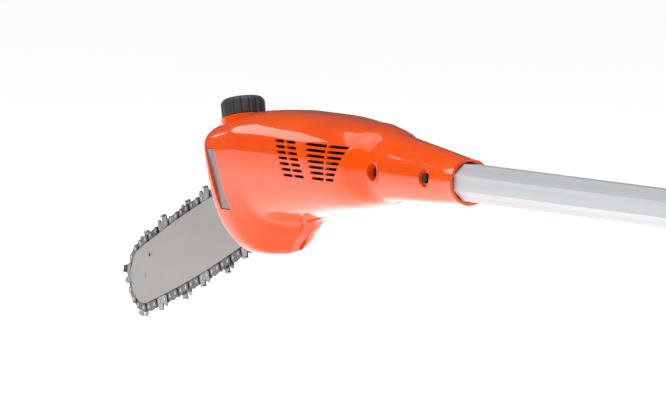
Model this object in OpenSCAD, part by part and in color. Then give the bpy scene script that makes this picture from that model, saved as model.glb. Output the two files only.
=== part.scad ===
// Telescoping battery pole saw, lying as it is stored: pole level, chain nose and rear feet on the ground.
// Design frame: X runs back along the pole from the collar of the head, Y to the bar side, Z up.

/* [Pole] */
// Inner tube size across its flats
tube_af = 30; // [28:0.5:31]
// Wall of the inner tube
tube_wall = 1.5; // [1.2:0.1:2]
// Outer tube size across its flats
outer_af = 36; // [35:0.5:38]
// Wall of the outer tube
outer_wall = 2; // [1.8:0.1:2]
// Bare length of inner tube between the head and the clamp
bare_tube = 425; // [300:5:500]
// How far the inner tube pulls out of the outer one
travel = 800; // [600:10:820]
// Length of the outer tube
outer_len = 1015; // [1010:5:1030]

/* [Cutting gear] */
// Downward slope of the guide bar below the pole line, in degrees
bar_slope = 20.8; // [18:0.1:23]
// Distance from the drive sprocket's centre to the nose sprocket's
bar_centres = 309.5; // [308:0.1:311]
// Rivets in the whole chain, two to each drive link
rivet_count = 80; // [80:2:80]
// Radius of the rivet line round the drive sprocket
drive_r = 18.4; // [18.2:0.1:18.6]
// Radius of the rivet line round the nose sprocket
nose_r = 27.4; // [27.2:0.1:27.6]
// Radius of the long curve that each rail follows
rail_r = 1480; // [1400:10:1600]
// Height of the rivet line above the rail
rail_drop = 3.8; // [3.7:0.1:4]
// Gauge of the chain: the drive links' thickness
gauge = 1.3; // [1.3:0.1:1.4]
// Thickness of the guide bar
bar_t = 4.4; // [4:0.1:4.5]

/* [Head] */
// Wall of the moulded shells
shell_wall = 2.5; // [2:0.1:2.8]
// Diameter of the oil cap
cap_d = 36.5; // [35:0.5:38]
// Height of the oil cap
cap_h = 15.5; // [14:0.5:17]
// Forward lean of the oil cap, in degrees
cap_lean = 16; // [12:1:18]
// Rows of cooling slots
vent_rows = 7; // [4:1:8]
// Diameter of the motor
motor_d = 48; // [44:1:50]

/* [Rear] */
// Half width of the battery housing
rear_half_w = 47; // [44:1:50]
// Width of the battery
battery_w = 76; // [70:1:78]
// Height of the battery
battery_h = 84; // [82:1:86]
// Length of the battery
battery_len = 131; // [128:1:134]

/* [Hidden] */

$fn = 48;
orange = "#f4511e";
black = "#1d1d1f";
steel = "#b9bcc0";
alloy = "#d4d7da";
fit_gap = 0.3;          // between faces of pieces that move past each other
run_gap = 0.05;         // round a shaft that turns

// Centre of the box round the whole saw, measured in the design frame.
box_mid_x = 563.74;
box_mid_y = 4.25;
pole_height = 149.71;   // pole axis above the ground
foot_h = 7.2;

// Guide bar frame: u runs from the drive sprocket to the nose, v across the bar, upwards.
sprocket_x = -305;
sprocket_z = -5;
bar_y = 26;             // middle plane of the bar and chain
part_y = 8;             // parting plane of the head shells
wall_y = 19;            // outer face of the wall that the bar clamps to
cover_u = -36;          // rear edge of the sprocket cover
front_u = 54.3;         // front plane of the head

// Long rail curve: its centre lies at (rail_u, -rail_v) for the upper run.
rail_u = (pow(bar_centres, 2) + pow(rail_r - drive_r, 2) - pow(rail_r - nose_r, 2)) / (2 * bar_centres);
rail_v = sqrt(pow(rail_r - drive_r, 2) - pow(rail_u, 2));
nose_a = atan2(rail_v, bar_centres - rail_u);
drive_a = atan2(rail_v, -rail_u);
deg = PI / 180;
nose_len = nose_r * nose_a * deg;
rail_len = rail_r * (drive_a - nose_a) * deg;
wrap_len = drive_r * (180 - drive_a) * deg;
half_loop = nose_len + rail_len + wrap_len;
rivet_step = 2 * half_loop / rivet_count;

// A point of the rivet line, s along it from the tip of the nose, over the top.
function upper_point(s) =
    s <= nose_len ? [bar_centres + nose_r * cos(s / nose_r / deg), nose_r * sin(s / nose_r / deg)]
    : s <= nose_len + rail_len ? let(a = nose_a + (s - nose_len) / rail_r / deg)
        [rail_u + rail_r * cos(a), -rail_v + rail_r * sin(a)]
    : let(a = drive_a + (s - nose_len - rail_len) / drive_r / deg) [drive_r * cos(a), drive_r * sin(a)];
function chain_point(s) =
    s <= half_loop ? upper_point(s) : let(p = upper_point(2 * half_loop - s)) [p[0], -p[1]];
function rivet(i) = chain_point(((i + 0.5 + rivet_count) % rivet_count) * rivet_step);

// Head outline at each station along the pole: place on the pole line, lean of the section, top, bottom,
// half width on the vent side, half width on the bar side, squareness.
lean = bar_slope;
head_stations = [
    [-365, lean, 21.5, -77, 46, 42, 2.7],
    [-361, lean, 26, -80, 48.5, 45, 2.7],
    [-346, lean, 30.5, -79, 49.5, 46, 2.7],
    [-325, lean, 35, -64, 49.5, 46, 2.8],
    [-308, lean * 0.9, 39, -52, 49.5, 46, 2.9],
    [-262, lean * 0.6, 42, -44, 48.5, 45, 2.9],
    [-215, lean * 0.3, 42, -38, 47, 43, 2.8],
    [-165, 0, 39, -32, 44, 40, 2.7],
    [-140, 0, 36, -27, 40, 37, 2.4],
    [-122, 0, 32.5, -23, 28, 28, 2.2],
    [-75, 0, 27.5, -21, 24, 24, 2],
    [-30, 0, 22.5, -19.3, 20.3, 20.3, 2],
    [-6, 0, 19.6, -18.6, 18.8, 18.8, 2],
    [0, 0, 19.4, -18.9, 19, 19, 2]];

// Rear housing at each station, in the same terms.
rear_x = bare_tube + outer_len - 40;
rear_stations = [
    [rear_x, 0, 23, -23, 23, 23, 2],
    [rear_x + 8, 0, 26, -26, 26, 26, 2],
    [rear_x + 32, 0, 26, -26, 25, 25, 2],
    [rear_x + 50, 0, 22, -24, 20, 20, 2.2],
    [rear_x + 145, 0, 23, -25, 20, 20, 2.2],
    [rear_x + 172, 0, 30, -40, 32, 32, 2.8],
    [rear_x + 190, 0, 34, -120, 44, 44, 4],
    [rear_x + 206, 0, 36, -144, rear_half_w, rear_half_w, 8],
    [rear_x + 322, 0, 36, -144, rear_half_w, rear_half_w, 8],
    [rear_x + 332, 0, 33, -141, 44, 44, 8]];

arc_steps = 12;

// Height of a section's outline at a place y across it, measured along the section's lean.
function rise(st, inset, y, up) =
    let(half = (y < 0 ? st[4] : st[5]) - inset, full = (up ? st[2] : -st[3]) / cos(st[1]) - inset)
    full * pow(max(0, 1 - pow(abs(y) / half, st[6])), 1 / st[6]);

function on_section(st, inset, y, up) =
    let(v = (up ? 1 : -1) * rise(st, inset, y, up)) [st[0] - v * sin(st[1]), y, v * cos(st[1])];

// Points of one section from the top to the bottom, on the bar side of y0 or on the vent side of it.
function far_arc(st, inset, y0) =
    let(half = st[5] - inset, a0 = acos(pow(y0 / half, st[6] / 2)))
    [for (k = [0 : arc_steps]) let(a = a0 * (1 - 2 * k / arc_steps))
        on_section(st, inset, half * pow(cos(a), 2 / st[6]), a >= 0)];
function near_arc(st, inset, y0) =
    let(half = st[4] - inset,
        bow = [for (k = [0 : arc_steps]) let(a = 180 * k / arc_steps)
            on_section(st, inset, -half * pow(abs(sin(a)), 2 / st[6]), a <= 90)])
    y0 == 0 ? bow : concat([on_section(st, inset, y0, true)], bow, [on_section(st, inset, y0, false)]);

// Half of a hollow moulding: an outer and an inner skin through the same sections, closed at the first
// section and open at the last, with a flat joint face along the parting plane.
module half_shell(outer, inner, flip) {
    n = len(outer[0]);
    last = len(outer) - 1;
    base = n * len(outer);
    points = concat([for (r = outer) each r], [for (r = inner) each r]);
    skins = [for (i = [0 : last - 1], k = [0 : n - 2])
        let(a = i * n + k, b = a + 1, c = b + n, d = a + n)
        each [[a, b, c], [a, c, d], [base + a, base + c, base + b], [base + a, base + d, base + c]]];
    joints = [for (i = [0 : last - 1])
        let(a = i * n, d = a + n, e = a + n - 1, f = e + n)
        each [[a, d, base + d], [a, base + d, base + a], [e, base + e, base + f], [e, base + f, f]]];
    mouth = [for (k = [0 : n - 2]) let(a = last * n + k)
        each [[a, a + 1, base + a + 1], [a, base + a + 1, base + a]]];
    ends = [[for (k = [n - 1 : -1 : 0]) k], [for (k = [0 : n - 1]) base + k],
        [0, base, base + n - 1], [0, base + n - 1, n - 1]];
    faces = concat(skins, joints, mouth, ends);
    polyhedron(points, flip ? faces : [for (f = faces) [for (k = [len(f) - 1 : -1 : 0]) f[k]]]);
}

module place() {
    translate([-box_mid_x, -box_mid_y, pole_height]) children();
}

// Puts a shape drawn in the bar frame (u, v) with its thickness along Y, from y0 to y1.
module bar_frame() {
    translate([sprocket_x, 0, sprocket_z])
        rotate([0, -bar_slope, 0])
            mirror([1, 0, 0])
                rotate([90, 0, 0])
                    mirror([0, 0, 1])
                        children();
}

module bar_sheet(y0, y1) {
    bar_frame()
        translate([0, 0, y0])
            linear_extrude(y1 - y0)
                children();
}

module bar_rod(u, v, r, y0, y1) {
    bar_frame()
        translate([u, v, y0])
            cylinder(r = r, h = y1 - y0);
}

module bar_block(u0, u1, v0, v1, y0, y1) {
    bar_frame()
        translate([u0, v0, y0])
            cube([u1 - u0, v1 - v0, y1 - y0]);
}

module rod_x(x0, x1, y, z, r) {
    translate([x0, y, z])
        rotate([0, 90, 0])
            cylinder(r = r, h = x1 - x0);
}

module rod_y(x, z, r, y0, y1) {
    translate([x, y1, z])
        rotate([90, 0, 0])
            cylinder(r = r, h = y1 - y0);
}

module block(x0, x1, y0, y1, z0, z1) {
    translate([x0, y0, z0])
        cube([x1 - x0, y1 - y0, z1 - z0]);
}

// A flat outline in X and Z, given its thickness along Y.
module side_sheet(y0, y1) {
    translate([0, y1, 0])
        rotate([90, 0, 0])
            linear_extrude(y1 - y0)
                children();
}

module octagon_bar(x0, x1, flats) {
    translate([x0, 0, 0])
        rotate([0, 90, 0])
            rotate(22.5)
                cylinder(r = flats / 2 / cos(22.5), h = x1 - x0, $fn = 8);
}

// ---- Head shells ----

neck_bore_r = tube_af / 2 / cos(22.5) + fit_gap;

// The inner skin's section: set back from the front face, and no tighter than the tube in the neck.
function hollow_station(i) = let(st = head_stations[i])
    [st[0] + (i == 0 ? shell_wall : 0), st[1], st[2], st[3], st[4], st[5], st[6]];
function hollow_inset(i) = min(shell_wall, head_stations[i][5] - neck_bore_r);

cap_x = -350;
cap_y = -19;
cap_z = 31.5;
neck_r = 12;
slot_h = 2.3;
slot_pitch = 4.5;
slot_top = 20;

module at_cap() {
    translate([cap_x, cap_y, cap_z])
        rotate([0, -cap_lean, 0])
            children();
}

// One row of slots: each entry is a column's front edge and length, and the rows lean back or forward.
module vent_slots() {
    for (row = [0 : vent_rows - 1]) {
        z = slot_top - slot_pitch * row - slot_h;
        translate([-247 + 3 * row, z]) square([15, slot_h]);
        translate([-229.5 + 3 * row, z]) square([15, slot_h]);
        translate([-198 + 2.4 * row, z]) square([32 - 2.4 * row, slot_h]);
        translate([-163, z]) square([24 - 2.2 * row, slot_h]);
    }
}

window_top = [-353, 4];
window_foot = [-328, -41];
window_w = 12;

module window_outline(grow) {
    dx = window_w / 2 + grow;
    polygon([[window_top[0] - dx, window_top[1] + grow], [window_top[0] + dx, window_top[1] + grow],
        [window_foot[0] + dx, window_foot[1] - grow], [window_foot[0] - dx, window_foot[1] - grow]]);
}

screw_x = [-115, -40];
screw_seat = [-21, -18.2];
recess_r = 7.3;

module head_shell_near() {
    joint_y = part_y - 0.05;
    color(orange)
    difference() {
        union() {
            half_shell([for (st = head_stations) near_arc(st, 0, joint_y)],
                [for (i = [0 : len(head_stations) - 1])
                    near_arc(hollow_station(i), hollow_inset(i), joint_y)], false);
            rod_y(screw_x[0], 1, recess_r + 1.6, -25.4, screw_seat[0] + 1.5);
            rod_y(screw_x[1], 1, recess_r + 1.6, -20, screw_seat[1] + 2);
            at_cap() translate([0, 0, -3.5]) cylinder(r = cap_d / 2 + 1.2, h = 3.5);
        }
        side_sheet(-60, -30) vent_slots();
        side_sheet(-60, -35) window_outline(2);
        at_cap() cylinder(r = cap_d / 2 + 0.6, h = 30);
        at_cap() translate([0, 0, -16]) cylinder(r = neck_r + fit_gap, h = 28);
        for (i = [0, 1]) rod_y(screw_x[i], 1, recess_r, -40, screw_seat[i]);
        for (i = [0, 1]) rod_y(screw_x[i], 1, 2.1, -40, -12);
    }
}

pad_u = [26, 60];
stud_u = [34, 50];
stud_r = 4;
bearing_r = 11;
pin_u = 44;
pin_v = -13.2;
tension_y = 14;         // adjuster screw's distance from the middle plane
back_off = 4;           // how far the bar can slide back to slacken the chain
take_up = 2;            // how far it can slide out

// The bar wall's outline follows the head's profile, buried in the shell's own wall.
module bar_wall_outline() {
    stations = [for (st = head_stations) if (st[0] < -270) st];
    edge = [for (up = [true, false]) [for (st = stations)
        let(p = on_section(st, 1.2, wall_y, up)) [p[0] + (st[0] < -364 ? 1 : 0), p[2]]]];
    polygon(concat(edge[0], [[-262, 36], [-262, -38]], [for (k = [len(stations) - 1 : -1 : 0]) edge[1][k]]));
}

module head_shell_far() {
    joint_y = part_y + 0.05;
    color(orange)
    difference() {
        union() {
            difference() {
                union() {
                    half_shell([for (st = head_stations) far_arc(st, 0, joint_y)],
                        [for (i = [0 : len(head_stations) - 1])
                            far_arc(hollow_station(i), hollow_inset(i), joint_y)], true);
                    side_sheet(wall_y - 2.5, wall_y + 2) bar_wall_outline();
                }
                bar_block(cover_u, 120, -90, 90, wall_y, 60);
            }
            bar_block(cover_u - shell_wall, cover_u, -32, 30, wall_y - 1, 37.5);
            bar_block(pad_u[0], front_u - 3, -9, 9, wall_y - 1, bar_y - bar_t / 2 - fit_gap);
        }
        bar_rod(0, 0, bearing_r + 0.02, 0, 30);
        bar_block(pin_u - 10, front_u - shell_wall, pin_v - 5.5, pin_v + 5, 10, 20);
        bar_rod_u(front_u - 6, 90, pin_v, tension_y, 4.4);
        rod_x(can_x[0] - 1, can_x[1] + 1, 0, motor_z, motor_d / 2 + fit_gap);
        for (u = stud_u) bar_rod(u, 0, stud_r, 0, 40);
    }
}

// A rod along the bar's own length.
module bar_rod_u(u0, u1, v, y, r) {
    bar_frame()
        translate([u0, v, y])
            rotate([0, 90, 0])
                cylinder(r = r, h = u1 - u0);
}

cover_gap = 0.4;

cover_stations = [for (i = [0 : 4]) head_stations[i],
    [sprocket_x + (-(cover_u + cover_gap) + sprocket_z * sin(lean)) / cos(lean),
        lean, 41, -46.5, 48.8, 45.2, 2.9]];

module sprocket_cover() {
    y0 = wall_y + cover_gap;
    color(orange)
    difference() {
        union() {
            difference() {
                half_shell([for (st = cover_stations) far_arc(st, 0, y0)],
                    [for (i = [0 : 5]) let(st = cover_stations[i])
                        far_arc([st[0] + (i == 0 ? shell_wall : 0), st[1], st[2], st[3], st[4], st[5], st[6]],
                            shell_wall, y0)], true);
                bar_block(30, 90, -46, 42, wall_y - 1, 34);
            }
            bar_block(pad_u[0], front_u - 3, -9, 9, bar_y + bar_t / 2 + fit_gap, 44);
        }
        for (u = stud_u) bar_rod(u, 0, stud_r + run_gap, 0, 80);
    }
}

knob_y = [47, 58];

module cover_knob() {
    color(black)
    difference() {
        union() {
            bar_rod(stud_u[1], 0, 13, knob_y[0], knob_y[1]);
            for (a = [0 : 60 : 300])
                bar_rod(stud_u[1] + 11 * cos(a), 11 * sin(a), 4, knob_y[0], knob_y[1]);
        }
        bar_rod(stud_u[1], 0, stud_r + run_gap, knob_y[0] - 1, knob_y[1] - 2);
    }
}

// ---- Oil system ----

cap_bore = neck_r + 0.4;
seal_z = 6.3;

module oil_cap() {
    color(black)
    at_cap()
        difference() {
            union() {
                translate([0, 0, 0.5]) cylinder(r = cap_d / 2 - 1, h = cap_h - 0.5);
                for (a = [0 : 20 : 340])
                    rotate(a)
                        translate([cap_d / 2 - 1.6, -1.9, 2])
                            cube([1.6, 3.8, cap_h - 5]);
            }
            translate([0, 0, -1]) cylinder(r = cap_bore, h = 9.4);
        }
}

module oil_cap_seal() {
    color("#303030")
    at_cap()
        translate([0, 0, seal_z])
            difference() {
                cylinder(r = neck_r - 0.1, h = 1.8);
                translate([0, 0, -1]) cylinder(r = neck_r - 3, h = 4);
            }
}

tank_y = [-41, -27];

module tank_outline(d) {
    polygon([[-360 + d, 10 - d], [-342 + d, -38 + d], [-311, -38 + d], [-285 - d, -29.4 + d],
        [-285 - d, 8 - d], [-325 - d, 14 - d]]);
}

module oil_tank() {
    color("#e9e4d2", 0.8)
    difference() {
        union() {
            side_sheet(tank_y[0], tank_y[1]) tank_outline(0);
            block(-360, -342, -33, -7, 2, 20);
            at_cap() translate([0, 0, -15]) cylinder(r = neck_r, h = 21);
        }
        side_sheet(tank_y[0] + 1.6, tank_y[1] - 1.6) tank_outline(2);
        block(-358, -344, -31, -9, 4, 18);
        at_cap() translate([0, 0, -12]) cylinder(r = neck_r - 2, h = 29);
        translate([-351, -19, 10]) cylinder(r = 6.5, h = 14);
        rod_y(-348, 6, 1.8, -33, -27);
    }
}

module oil_window() {
    color("#9aa0a4", 0.7)
    side_sheet(-43.2, -41) window_outline(1.5);
}

module oil_pump() {
    color("#44474b")
    rod_y(sprocket_x, sprocket_z, 12, -26.6, -20.1);
    color("#44474b")
    rod_y(sprocket_x - 16, sprocket_z - 8, 3, -26.9, -20.1);
}

// ---- Motor and drive ----

can_x = [-262, -192];
can_t = 1.2;
shaft_r = 2.5;
race_r = 7;
stack_x = [-250, -206];
stator_in = 10.6;
motor_z = sprocket_z;

module motor_can() {
    color(steel)
    difference() {
        rod_x(can_x[0], can_x[1], 0, motor_z, motor_d / 2);
        rod_x(can_x[0] + 2.5, can_x[1] - 2.5, 0, motor_z, motor_d / 2 - can_t);
        rod_x(can_x[0] - 1, can_x[1] + 1, 0, motor_z, race_r);
    }
}

module motor_stator() {
    core_r = motor_d / 2 - can_t;
    color("#8a5a2b")
    difference() {
        union() {
            difference() {
                rod_x(stack_x[0], stack_x[1], 0, motor_z, core_r);
                rod_x(stack_x[0] - 1, stack_x[1] + 1, 0, motor_z, core_r - 4.5);
            }
            for (a = [0 : 60 : 300])
                translate([0, 0, motor_z])
                    rotate([a, 0, 0])
                        block(stack_x[0] - 2, stack_x[1] + 2, -4, 4, stator_in, core_r - 2.5);
        }
        rod_x(stack_x[0] - 5, stack_x[1] + 5, 0, motor_z, stator_in);
    }
}

module motor_rotor() {
    color(steel) {
        rod_x(-277, -174, 0, motor_z, shaft_r);
        rod_x(stack_x[0], stack_x[1], 0, motor_z, stator_in - 0.6);
    }
}

module cooling_fan() {
    color(black)
    difference() {
        union() {
            rod_x(-187, -185, 0, motor_z, 20);
            rod_x(-187, -177, 0, motor_z, 6);
            for (a = [0 : 30 : 330])
                translate([0, 0, motor_z])
                    rotate([a, 0, 0])
                        block(-186, -178, -0.7, 0.7, 5, 19.5);
        }
        rod_x(-190, -170, 0, motor_z, shaft_r);
    }
}

gear_m = 1.75;          // module of the gears
pinion_teeth = 10;
gear_teeth = 36;
pinion_r = gear_m * pinion_teeth / 2;
gear_r = gear_m * gear_teeth / 2;
tooth_gap = 0.7;        // play between meshing teeth
mesh_half = 2.5;        // half the width of the meshing faces

module pinion() {
    root_r = pinion_r - 1.25 * gear_m;
    tip_r = pinion_r + 0.85 * gear_m;
    base_w = PI * gear_m / 2;
    color(steel)
    translate([sprocket_x + gear_r - mesh_half, 0, motor_z])
        rotate([0, 90, 0])
            linear_extrude(2 * mesh_half)
                difference() {
                    union() {
                        circle(r = root_r);
                        for (i = [0 : pinion_teeth - 1])
                            rotate(90 + 360 * i / pinion_teeth)
                                polygon([[root_r - 0.6, -base_w * 0.62], [pinion_r, -(base_w - tooth_gap) / 2],
                                    [tip_r, -0.55], [tip_r, 0.55], [pinion_r, (base_w - tooth_gap) / 2],
                                    [root_r - 0.6, base_w * 0.62]]);
                    }
                    circle(r = shaft_r);
                }
}

module face_gear() {
    tip_y = pinion_r - 0.85 * gear_m;
    disc_y = pinion_r + 1.15 * gear_m;
    base_w = PI * gear_m / 2;
    color(steel)
    translate([sprocket_x, 0, sprocket_z])
        rotate([-90, 0, 0])
            difference() {
                union() {
                    translate([0, 0, disc_y]) cylinder(r = gear_r + mesh_half, h = 13.6 - disc_y);
                    for (i = [0 : gear_teeth - 1])
                        rotate(360 * (i + 0.5) / gear_teeth)
                            translate([gear_r + mesh_half - 0.05, 0, 0])
                                rotate([0, -90, 0])
                                    linear_extrude(2 * mesh_half)
                                        polygon([[disc_y + 0.5, -base_w * 0.55], [disc_y + 0.5, base_w * 0.55],
                                            [pinion_r, (base_w - tooth_gap) / 2], [tip_y, 0.5], [tip_y, -0.5],
                                            [pinion_r, -(base_w - tooth_gap) / 2]]);
                }
                translate([0, 0, -1]) cylinder(r = spindle_r, h = 40);
            }
}

spindle_r = 5;

module spindle() {
    color(steel)
    difference() {
        rod_y(sprocket_x, sprocket_z, spindle_r, -17.4, 34);
        difference() {
            rod_y(sprocket_x, sprocket_z, spindle_r + 1, 31.4, 32.4);
            rod_y(sprocket_x, sprocket_z, spindle_r - 0.8, 31, 33);
        }
    }
}

module head_bearings() {
    color("#c9ccd0") {
        for (x = [can_x[0], can_x[1] - 5])
            difference() {
                rod_x(x, x + 5, 0, motor_z, race_r);
                rod_x(x - 1, x + 6, 0, motor_z, shaft_r + run_gap);
            }
        for (y = [-17.6, 14.2])
            difference() {
                rod_y(sprocket_x, sprocket_z, bearing_r, y, y + 4.8);
                rod_y(sprocket_x, sprocket_z, spindle_r + run_gap, y - 1, y + 6);
            }
    }
}

case_r = 37;

module gear_case() {
    color("#8d9094")
    difference() {
        rod_y(sprocket_x, sprocket_z, case_r, -20, 16.4);
        difference() {
            rod_y(sprocket_x, sprocket_z, case_r - 2, -18, 14.1);
            rod_y(sprocket_x, sprocket_z, bearing_r + 2, -19, -12.6);
        }
        rod_y(sprocket_x, sprocket_z, bearing_r, -17.6, 20);
        rod_x(-290, -260, 0, motor_z, pinion_r + 2.3);
    }
}

module drive_sprocket() {
    color(steel)
    bar_frame()
        difference() {
            union() {
                translate([0, 0, 23.9]) cylinder(r = 7.6, h = 6.6);
                translate([0, 0, 23.9])
                    linear_extrude(4.2)
                        for (a = [30 : 60 : 330])
                            rotate(a)
                                polygon([[6, -3], [10, -1.9], [13.6, -0.8], [13.6, 0.8], [10, 1.9], [6, 3]]);
            }
            translate([0, 0, 20]) cylinder(r = spindle_r, h = 20);
        }
}

module bar_studs() {
    color(steel) {
        bar_rod(stud_u[0], 0, stud_r, 16.6, 40);
        bar_rod(stud_u[1], 0, stud_r, 16.6, knob_y[1] - 4);
    }
}

// ---- Guide bar and chain ----

tail_u = 20;
rail_steps = 14;
nose_steps = 24;

// Outline of the bar at a depth below its rails.
function bar_outline(depth) =
    let(nose = [for (k = [0 : nose_steps]) let(a = nose_a * k / nose_steps)
            [bar_centres + (nose_r - depth) * cos(a), (nose_r - depth) * sin(a)]],
        tail_a = acos((tail_u - rail_u) / (rail_r - depth)),
        rail = [for (k = [1 : rail_steps]) let(a = nose_a + (tail_a - nose_a) * k / rail_steps)
            [rail_u + (rail_r - depth) * cos(a), -rail_v + (rail_r - depth) * sin(a)]],
        top = concat(nose, rail))
    concat(top, [for (k = [len(top) - 1 : -1 : 1]) [top[k][0], -top[k][1]]]);

module bar_holes() {
    slot_u = [stud_u[0] - stud_r - take_up - 0.4, stud_u[1] + stud_r + back_off + 0.4];
    translate([slot_u[0] + 4.4, -4.3]) square([slot_u[1] - slot_u[0] - 8.8, 8.6]);
    for (u = [slot_u[0] + 4.3, slot_u[1] - 4.3]) translate([u, 0]) circle(r = 4.3);
    translate([pin_u, pin_v]) circle(r = 3);
}

module bar_side_plates() {
    color(steel)
    for (y = [bar_y - bar_t / 2, bar_y + 0.75])
        bar_sheet(y, y + bar_t / 2 - 0.75)
            difference() {
                polygon(bar_outline(rail_drop));
                bar_holes();
                translate([bar_centres, 0]) circle(r = 2.5);
                translate([bar_centres - 14, 13.5]) circle(r = 1.6);
            }
}

core_depth = rail_drop + 6.6;
nose_room = nose_r - 4;

module bar_core() {
    color(steel)
    bar_sheet(bar_y - 0.75, bar_y + 0.75)
        difference() {
            polygon(bar_outline(core_depth));
            bar_holes();
            translate([bar_centres, 0]) circle(r = nose_room);
        }
}

module nose_bearing() {
    color("#8f9296") {
        bar_frame()
            translate([bar_centres, 0, bar_y - 0.65])
                difference() {
                    cylinder(r = 8, h = 1.3);
                    translate([0, 0, -1]) cylinder(r = 2.5, h = 4);
                }
        bar_rod(bar_centres, 0, 2.5, bar_y - bar_t / 2 - 0.2, bar_y + bar_t / 2 + 0.2);
    }
}

module nose_sprocket() {
    color(steel)
    bar_frame()
        translate([bar_centres, 0, bar_y - 0.6])
            linear_extrude(1.2)
                difference() {
                    union() {
                        circle(r = 16.8);
                        for (a = [20 : 40 : 340])
                            rotate(a)
                                polygon([[15, -3.4], [19, -2.7], [22, -1.4], [22, 1.4], [19, 2.7], [15, 3.4]]);
                    }
                    circle(r = 8 + run_gap);
                }
}

module tension_block() {
    color(steel)
    difference() {
        union() {
            bar_block(pin_u - 3, pin_u + 4, pin_v - 4.5, pin_v + 3.7, 11, bar_y - bar_t / 2 - 0.5);
            bar_rod(pin_u, pin_v, 2.7, 20, bar_y + bar_t / 2);
        }
        bar_rod_u(pin_u - 10, pin_u + 10, pin_v, tension_y, 2.55);
    }
}

module tension_screw() {
    color("#4a4d50")
    difference() {
        union() {
            bar_rod_u(35.5, front_u, pin_v, tension_y, 2.5);
            bar_rod_u(front_u - 2, front_u + 1.5, pin_v, tension_y, 4);
        }
        bar_block(front_u, front_u + 4, pin_v - 5, pin_v + 5, tension_y - 0.6, tension_y + 0.6);
    }
}

// Draws a link between two rivets: children lie along +u from the first rivet, outward up.
module on_link(i, y0, t) {
    a = rivet(i);
    b = rivet(i + 1);
    mid = (a + b) / 2;
    bar_frame()
        translate([mid[0], mid[1], y0])
            rotate(atan2(a[1] - b[1], a[0] - b[0]))
                linear_extrude(t)
                    children();
}

half_step = 4.77;

module link_holes() {
    for (x = [-half_step, half_step]) translate([x, 0]) circle(r = 1.7, $fn = 24);
}

module chain_drive_links() {
    color("#7d8084")
    for (i = [0 : 2 : rivet_count - 1])
        on_link(i - 1, bar_y - gauge / 2, gauge)
            difference() {
                polygon([[-8, -2], [-4.6, -4.6], [-1.6, -9], [1.8, -9], [4.6, -4.6], [8, -2], [8, 2],
                    [6.4, 3.3], [-6.4, 3.3], [-8, 2]]);
                link_holes();
            }
}

strap_t = 1.2;
strap_y = [bar_y - gauge / 2 - 0.05 - strap_t, bar_y + gauge / 2 + 0.05];

module strap_outline() {
    difference() {
        polygon([[-8.3, -1.6], [-6.2, -3.3], [6.2, -3.3], [8.3, -1.6], [8.3, 1.6], [6.2, 3.6], [2.4, 2.7],
            [-2.4, 2.7], [-6.2, 3.6], [-8.3, 1.6]]);
        link_holes();
    }
}

// Side links run in fours: left cutter, plain pair, right cutter, plain pair.
module chain_tie_straps() {
    color("#8f9296")
    for (i = [0 : 2 : rivet_count - 1], side = [0, 1]) {
        turn = (i / 2) % 4;
        cutter = (turn == 0 && side == 0) || (turn == 2 && side == 1);
        if (!cutter) on_link(i, strap_y[side], strap_t) strap_outline();
    }
}

module cutter_outline() {
    difference() {
        polygon([[-8.3, -1.6], [-6.2, -3.3], [6.2, -3.3], [8.3, -1.6], [8.3, 4.6], [6.6, 7.2], [4.4, 6.6],
            [2.6, 3.2], [0.4, 3.2], [-0.8, 8.2], [-6.6, 7.6], [-8.3, 1.6]]);
        link_holes();
    }
}

module cutters(first, side) {
    top_t = 3.0;
    for (i = [first : 8 : rivet_count - 1]) {
        on_link(i, strap_y[side], strap_t) cutter_outline();
        on_link(i, side == 0 ? strap_y[0] - 1.6 : bar_y + 0.1, top_t)
            polygon([[-6.6, 6.6], [-0.5, 7.1], [-0.8, 8.2], [-6.6, 7.6]]);
    }
}

module chain_cutters_left() {
    color("#a5a8ac") cutters(0, 0);
}

module chain_cutters_right() {
    color("#a5a8ac") cutters(4, 1);
}

module chain_rivets() {
    color("#6c6f73")
    for (i = [0 : rivet_count - 1]) {
        p = rivet(i);
        bar_frame()
            translate([p[0], p[1], bar_y - 2.15])
                cylinder(r = 1.65, h = 4.3, $fn = 24);
    }
}

module head_screws() {
    color("#3a3c3f")
    for (i = [0, 1]) {
        rod_y(screw_x[i], 1, 4.2, screw_seat[i] - 2.4, screw_seat[i]);
        rod_y(screw_x[i], 1, 2, screw_seat[i] - 0.5, i == 0 ? -17 : -15.05);
    }
}

// ---- Pole ----

socket_x = [-121, -78];
tube_head_x = -118;
clamp_x = bare_tube;
tube_tail_x = clamp_x + 145 + travel;
bush_len = 60;

module tube_socket() {
    color("#3c3f43")
    difference() {
        rod_x(socket_x[0], socket_x[1], 0, 0, 18.2);
        octagon_bar(tube_head_x, socket_x[1] + 1, tube_af);
        rod_x(socket_x[0] - 1, socket_x[1], 0, 0, 12);
        rod_y(screw_x[0], 1, 2, -30, -12);
    }
}

module inner_tube() {
    color(alloy)
    difference() {
        octagon_bar(tube_head_x, tube_tail_x, tube_af);
        octagon_bar(tube_head_x - 1, tube_tail_x + 1, tube_af - 2 * tube_wall);
        rod_y(screw_x[0], 1, 2.2, -30, -10);
    }
}

module slide_bush() {
    color("#e6e6e2")
    difference() {
        octagon_bar(tube_tail_x - bush_len, tube_tail_x, outer_af - 2 * outer_wall - 0.16);
        octagon_bar(tube_tail_x - bush_len - 1, tube_tail_x + 1, tube_af);
    }
}

outer_x = [clamp_x + 15, clamp_x + outer_len];

module outer_tube() {
    color(alloy)
    difference() {
        octagon_bar(outer_x[0], outer_x[1], outer_af);
        octagon_bar(outer_x[0] - 1, outer_x[1] + 1, outer_af - 2 * outer_wall);
    }
}

clamp_r = 27;
clamp_len = 85;
ear_x = [clamp_x + 18, clamp_x + 78];
bolt_x = clamp_x + 48;
bolt_z = 31;
pivot_y = -19;

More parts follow.
